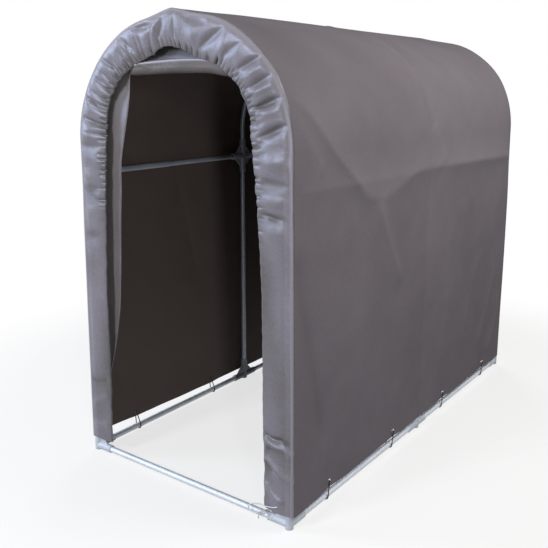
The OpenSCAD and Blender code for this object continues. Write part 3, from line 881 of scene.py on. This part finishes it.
door = {
    "y": -.893,
    "rollY": -.89,
    "rollZ": 1.456,
    "rollRadius": .0235,
    "rollHalf": .25,
    "lip": .005,
    "flatten": .0024,  # the front under the lip
    "crossFold": .0035,  # the slanting fold at the left end
    "leftDrop": .012,
    "rightSink": .009,
    "headHalf": .3,
    "headGap": .0145,  # from the hoop's centre line to the cloth, above and at the sides
    "flapGap": .0155,
    "headRipple": (41, 12, .05, .16),  # seed, number, shortest and longest wave
    # edge of the left strip, x and z from its top to its foot; the right one is tucked further out
    "tuck": .036,
    "flapEdge": [
        (.226, 1.5), (.233, 1.43), (.239, 1.36), (.248, 1.311), (.261, 1.249), (.276, 1.187), (.285, 1.144),
        (.292, 1.012), (.299, .925), (.304, .814), (.312, .69), (.318, .616), (.352, .44), (.393, .291),
        (.404, .106),
    ],
}


def rollGrid():
    # section round the axis: a circle with a lip on top and a flattened front under it, drawn in to a point
    # at the left end, where the lip turns forwards and a slanting fold crosses it; the right end sinks
    s = np.linspace(-1, 1, 181)
    a = np.linspace(0, 2 * np.pi, 97)[:-1]
    ss, aa = crossed(s, a)
    x = ss * door["rollHalf"]
    point = np.clip((-.76 - ss) / .24, 0, 1)
    taper = 1 - .8 * point - .25 * smooth((ss - .72) / .28)
    pinch = np.sqrt(np.clip(1 - np.abs(ss) ** 24, 0, 1)) * taper
    about = np.angle(np.exp(1j * aa))
    lipAt = .68 + .12 * np.sin(2.6 * ss + .6) - .45 * smooth((-.6 - ss) / .4)
    lip = door["lip"] * np.exp(-np.abs(about - lipAt) / .22)
    flat = -door["flatten"] * bell((about - .1) / .42)
    fold = door["crossFold"] * np.exp(-np.abs(about - .9 + 3.2 * (ss + .8)) / .25) * bell((ss + .62) / .2)
    twist = .0006 * np.sin(aa * 2 + x * 19) + .0004 * np.sin(aa * 3 - x * 37 + 1.3)
    radius = (door["rollRadius"] + twist + lip + flat + fold) * pinch
    y = door["rollY"] - radius * np.cos(aa) * .92
    sink = .01 * ss ** 2 + door["rightSink"] * smooth((ss - .5) / .5) + door["leftDrop"] * point
    z = door["rollZ"] + radius * np.sin(aa) - sink
    uv = stacked(*crossed(s * door["rollHalf"], np.linspace(0, .15, 97)))
    # tone: a painted highlight along the lip, painted shade on the body below it and on the drawn-in left end
    tone = 2 * bell((about - lipAt) / .14) - .7 - .3 * smooth((lipAt - about) / .25) * (about > -2.2)
    tone -= .8 * bell((ss + .66) / .14) * bell((about + .1) / .45)
    return stacked(x, y, z), uv, tone


def headerGrid():
    # a sheet between the hoop's inside and the top of the roll; it bows back in the middle, and its ripples
    # grow towards the foot
    s = np.linspace(-1, 1, 121)
    t = np.linspace(0, 1, 40)
    ss, tt = crossed(s, t)
    top = np.interp(np.abs(ss) * door["headHalf"], lineX, lineZ) - hoop["stand"] - door["headGap"]
    foot = door["rollZ"] + .016 - .01 * ss ** 2
    x = ss * (door["headHalf"] - .05 * tt)
    z = top + (foot - top) * tt
    ripple = .003 * softRipple(x, z * .4, *door["headRipple"])
    y = door["y"] + .006 * np.sin(np.pi * tt) + ripple * (.3 + .7 * tt)
    # tone: painted shade at the top under the band, lighter towards the roll, and painted shade and highlight
    # on the ripples
    return stacked(x, y, z), stacked(x, z), 60 * ripple - 1.5 + 1.6 * smooth((tt - .7) / .3)


def flapGrid(side, seed):
    # a hanging strip between the wall and a curved edge; long upright folds grow towards the free edge
    edge = smoothLine(door["flapEdge"], 150)
    if side > 0:
        edge[:, 0] += door["tuck"] * smooth((edge[:, 1] - .15) / .4) * smooth((1.45 - edge[:, 1]) / .15)
    t = steps((0, .92, 30), (.92, 1, 9))
    ex, ez = edge[:, 0][:, None], edge[:, 1][:, None]
    outer = np.interp(-np.minimum(ez, 1.6), -lineZ, lineX) - hoop["stand"] - door["flapGap"]
    tt = np.broadcast_to(t, (len(edge), len(t)))
    x = outer + (ex - outer) * tt
    z = np.broadcast_to(ez, x.shape)
    rng = np.random.default_rng(seed)
    wave = np.sin(tt * 7.5 + 1.2 * np.sin(z * 3.1 + rng.uniform(0, 6)) + rng.uniform(0, 6))
    pucker = softRipple(z, tt * .05, seed, 12, .05, .22)
    folds = (.0022 + .003 * smooth((z - 1.1) / .2)) * wave * smooth(tt / .3)
    folds = folds + .0022 * pucker * smooth((tt - .3) / .7)
    hemRoll = .003 * np.sin(np.pi * np.clip((tt - .93) / .07, 0, 1))
    y = door["y"] + .002 + folds - hemRoll
    x = x + .0025 * pucker * smooth((tt - .6) / .4)
    return stacked(side * x, y, z), stacked(x, z), folds


points, uv, tone = headerGrid()
header = gridMesh("door_curtain_top", points, uv, flip=True)
shade(header, tone)
dress(header, (shadedDoorHead, coverInside), "door_fabric", "door_header")
for side, hand, seed in ((-1, "left", 51), (1, "right", 52)):
    points, uv, folds = flapGrid(side, seed)
    strip = gridMesh(hand + "_door_strip", points, uv, flip=side > 0)
    # the folds' depth paints shade in the hollows and a highlight on the crests
    shade(strip, np.clip(folds / .01, -1, 1))
    dress(strip, (doorOutside, coverInside), "door_fabric", hand + "_door_flap")
points, uv, tone = rollGrid()
rollPiece = gridMesh("rolled_door_curtain", points, uv, loopCols=True)
shade(rollPiece, tone)
weldEnds(rollPiece.data)
dress(rollPiece, [paintedLightDoorRoll], "door_fabric", "door_roll")
print("door made")


# Ties and cords

def sweep(path, radius, sides, closed=False):
    # a circle carried along a path: its plane is square to the path and its start follows a fixed direction
    path = np.asarray(path, float)
    ahead = np.roll(path, -1, 0) - np.roll(path, 1, 0)
    if not closed:
        ahead[0], ahead[-1] = path[1] - path[0], path[-1] - path[-2]
    ahead /= np.linalg.norm(ahead, axis=1)[:, None]
    guide = np.array([.31, .42, .85])
    across = np.cross(ahead, guide)
    across /= np.linalg.norm(across, axis=1)[:, None]
    up = np.cross(across, ahead)
    a = np.linspace(0, 2 * np.pi, sides + 1)[:-1]
    radius = np.broadcast_to(radius, len(path))[:, None, None]
    ring = np.cos(a)[None, :, None] * across[:, None] + np.sin(a)[None, :, None] * up[:, None]
    points = path[:, None] + radius * ring
    length = wayAlong(path)
    if closed:
        length = np.append(length, length[-1] + np.linalg.norm(path[0] - path[-1]))
    uv = stacked(*crossed(length, np.linspace(0, 1, sides + 1)))
    return points, uv


frontTie = {
    "diameter": .004,
    "start": (.4258, -.91, 0),  # the front eyelet in x and the front tube in y
    "route": [  # millimetres from the start
        (0, -4, 76), (0, -19, 76), (-5, -24, 73), (-16, -25, 69), (-30, -24, 65), (-44, -22, 61),
        (-57, -20, 58), (-71, -19, 58), (-88, -19, 55), (-103, -20, 49.5), (-113, -21, 45),
        (-119, -22.3, 37.5), (-117, -23.8, 29.5), (-109, -25, 25), (-98, -26, 24.5), (-85, -27, 27),
        (-72, -28, 34), (-62, -28, 41), (-53, -27, 44), (-46, -23, 41), (-43, -18.5, 34), (-43, -15, 27),
        (-44, -13.2, 20.5), (-46, -13.2, 13.5), (-48, -9.7, 7.3), (-50, -3.5, 3.8), (-52, 3.5, 3.8),
        (-54, 9.7, 7.3), (-56, 13.2, 13.5), (-58, 13.2, 20.5), (-60, 9.7, 26.7), (-63, 3.5, 30.2),
        (-67, -4.5, 31), (-72, -12, 27.5), (-77, -16.5, 20), (-81, -18, 11), (-83, -18, 2.4),
    ],
}


def buildTie():
    # a round cord along a smooth line through the route's points, closed by a point at each end
    route = smoothLine(np.array(frontTie["start"]) + np.array(frontTie["route"]) / 1000, 260)
    ends = np.sqrt(np.clip(1 - np.linspace(-1, 1, len(route)) ** 300, 0, 1))
    points, uv = sweep(route, frontTie["diameter"] / 2 * ends, 12)
    tie = gridMesh("white_tie", points, uv, loopCols=True, weld=True)
    dress(tie, [whiteBraid], "tie_cord", "right_front_tie")


buildTie()


hemTie = {
    "radius": .002,
    "tube": .017,  # height of the base tube's centre line
    "wrap": .0133,  # from there to the middle of the elastic
    "faces": (.0143, .0158),  # the wall's inner and outer face, outwards from the tube's centre line
    "flange": .0011,  # the eyelet's rim with a little air
}


def hemTieRoute():
    # round the base tube, up to the eyelet on the inside, through it in a half circle and down the outside;
    # x is measured outwards from the tube's centre line
    tube, wrap = hemTie["tube"], hemTie["wrap"]
    clear = hemTie["flange"] + hemTie["radius"]
    inX, outX, rise = hemTie["faces"][0] - clear, hemTie["faces"][1] + clear, eyeletZ - tube
    leave = np.arctan2(rise, inX) + np.arccos(wrap / np.hypot(inX, rise))
    a = -np.linspace(0, 2 * np.pi - leave, 26)
    about = stacked(wrap * np.cos(a), tube + wrap * np.sin(a))
    b = np.linspace(np.pi, 0, 14)
    middle, half = (outX + inX) / 2, (outX - inX) / 2
    through = stacked(middle + half * np.cos(b), eyeletZ + .001 * np.sin(b))
    up = np.linspace(about[-1], (inX, eyeletZ), 10)[1:-1]
    down = np.linspace((outX, eyeletZ), (wrap, tube), 12)[1:-1]
    return np.concatenate([about, up, through, down])


def buildHemTies():
    # one closed loop for each eyelet of the walls, all in one mesh
    loop = hemTieRoute()
    whole = bmesh.new()
    for side in (-1, 1):
        for y in eyeletY:
            route = stacked(side * (hoop["halfWidth"] + loop[:, 0]), y + 0 * loop[:, 0], loop[:, 1])
            points, uv = sweep(route, hemTie["radius"], 10, closed=True)
            part = gridMesh("hem_elastic", points, uv, loopRows=True, loopCols=True)
            whole.from_mesh(part.data)
            bpy.data.objects.remove(part)
    bmesh.ops.recalc_face_normals(whole, faces=whole.faces)
    mesh = bpy.data.meshes.new("hem_elastics")
    whole.to_mesh(mesh)
    whole.free()
    dress(addObject("hem_elastics", mesh), [blackBraid], "elastic", "hem_ties")


buildHemTies()
print("ties made")


# Frame finishes

for name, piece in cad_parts.items():
    if piece.hide_render:
        continue
    if name == "hem_eyelets":
        finish = nickel
    elif "fitting" in name or "tee" in name:
        finish = fittingPlastic
    elif "base" in name:
        finish = tubeSteel
    else:
        # hoops, rails and ridge take the steel in painted shade
        finish = shadedHoopSteel
    for slot in piece.material_slots:
        slot.material = finish
print("frame finished")


# Floor and light

studio = {
    "floor": (.97, .96, .93),
    "floorBounce": (.11, .11, .12),  # what the floor throws back on the object
    "shadowReach": (1.3, 2.3),  # metres from the middle over which the floor's shading fades to white
    "white": .72,  # share of plain white in the floor beside the object
    "world": .15,
    "sky": (.97, .97, 1),
    # place, aim, size, watts and colour of each lamp
    "lamps": {
        "key": ((-.9, -4.9, 2.7), (0, -.9, 1.2), (1, 1), 116, (.9, .94, 1)),
        "side": ((-3.4, -2.9, 2.3), (0, -.9, 1.2), (1.0, 2.2), 94, (.66, .78, 1)),
        "fill": ((2.15, .3, 2.9), (.4, 0, 1.0), (1.2, 1.2), 48, (1, .975, .97)),
        "corner": ((3.2, -3.6, 1.3), (.3, -.9, 1.0), (.28, 2.0), 52, (.96, .97, 1)),
        "back": ((-2.6, 3.6, 2.6), (0, .3, .9), (2.0, 2.0), 75, (1, .98, .97)),
    },
}


def mixShader(tree, share, first, second):
    mix = addNode(tree, "ShaderNodeMixShader")
    feed(tree, mix, {0: share, 1: first, 2: second})
    return mix.outputs[0]


def seenOrLit(tree, lit, seen):
    # camera, mirror and see-through rays take the second shader, all others the first
    rays = addNode(tree, "ShaderNodeLightPath").outputs
    either = mathNode(tree, "MAXIMUM", rays["Is Camera Ray"], rays["Is Transmission Ray"])
    return mixShader(tree, mathNode(tree, "MAXIMUM", either, rays["Is Glossy Ray"]), lit, seen)


def addFloor():
    # a wide plain sheet; the camera sees it pale, and the light that it throws back is that of a darker one
    line = np.linspace(-14, 14, 5)
    points = stacked(*crossed(line, line, [0.0]))[:, :, 0]
    floor = gridMesh("floor", points, points[..., :2])
    material, tree, shader = nodesOf("pale floor")
    dust = objectTexture(tree, Scale=4, Detail=3)
    pale = [c + .02 for c in studio["floor"]]
    feed(tree, shader, {
        "Base Color": rampNode(tree, dust, [(.3, studio["floor"]), (.7, pale)]),
        "Roughness": .9,
        "Specular IOR Level": .1,
    })
    white = addNode(tree, "ShaderNodeEmission", Color=(1, 1, 1, 1), Strength=1.0)
    reach = addNode(tree, "ShaderNodeVectorMath", operation="LENGTH")
    feed(tree, reach, {0: addNode(tree, "ShaderNodeTexCoord").outputs["Object"]})
    fade = addNode(tree, "ShaderNodeMapRange", interpolation_type="SMOOTHSTEP")
    near, far = studio["shadowReach"]
    limits = {"From Min": near, "From Max": far, "To Min": studio["white"]}
    feed(tree, fade, {"Value": reach.outputs["Value"], **limits})
    seen = mixShader(tree, fade.outputs["Result"], shader.outputs[0], white.outputs[0])
    thrown = addNode(tree, "ShaderNodeBsdfDiffuse", Color=(*studio["floorBounce"], 1))
    feed(tree, tree.nodes["Material Output"], {"Surface": seenOrLit(tree, thrown.outputs[0], seen)})
    floor.data.materials.append(material)


def addWorld():
    # even white light; the camera and mirror-like surfaces see plain white
    world = bpy.data.worlds.new("studio")
    scene.world = world
    world.use_nodes = True
    tree = world.node_tree
    lit = tree.nodes["Background"]
    feed(tree, lit, {"Color": (*studio["sky"], 1), "Strength": studio["world"]})
    seen = addNode(tree, "ShaderNodeBackground", Color=(1, 1, 1, 1), Strength=1.0)
    feed(tree, tree.nodes["World Output"], {"Surface": seenOrLit(tree, lit.outputs[0], seen.outputs[0])})


def addLight(name, place, aim, size, power, colour):
    panel = bpy.data.lights.new(name, "AREA")
    panel.shape = "RECTANGLE"
    panel.size, panel.size_y = size
    panel.energy = power
    panel.color = colour
    light = addObject(name, panel)
    light.location = place
    light.rotation_euler = (Vector(aim) - Vector(place)).to_track_quat("-Z", "Y").to_euler()


addFloor()
addWorld()
for lampName, lamp in studio["lamps"].items():
    addLight(lampName, *lamp)
print("studio ready")
